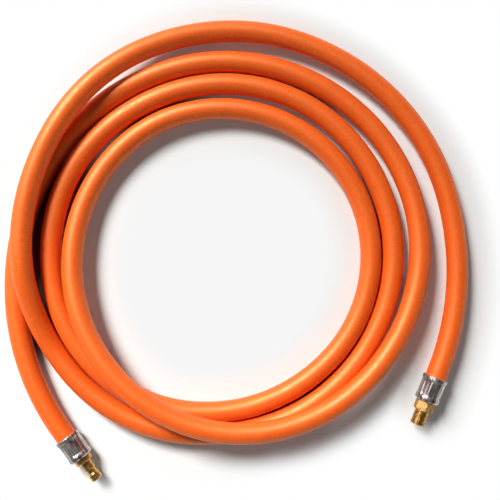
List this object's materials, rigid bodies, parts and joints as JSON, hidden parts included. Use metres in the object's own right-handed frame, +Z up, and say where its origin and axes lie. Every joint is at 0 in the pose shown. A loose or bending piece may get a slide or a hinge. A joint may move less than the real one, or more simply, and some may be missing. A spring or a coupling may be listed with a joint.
{
  "type": "coiled air hose",
  "caption": "Flexible compressed-air hose wound into a loose flat coil, with a crimped male pipe thread on one end and a crimped quick-coupling plug on the other.",
  "frame": {"origin": "under the middle of the outline, on the surface that the coil lies on", "axes": "+Z up from that surface, which is the coil's thin direction; the threaded end lies at +X and -Y, and the plug at -X and -Y"},
  "size_m": [0.418, 0.4172, 0.0358],
  "materials": {
    "cover": "satin, with a fine wrapped-cloth texture",
    "braid": "braided polyester yarn",
    "liner": "smooth",
    "ferrule": "zinc-plated, crimped",
    "brass": "turned"
  },
  "bodies": {
    "root": {"hose_cover": "cover", "hose_braid": "braid", "hose_liner": "liner", "thread_ferrule": "ferrule", "thread_stem": "brass", "plug_ferrule": "ferrule", "plug_stem": "brass"}
  },
  "joints": []
}
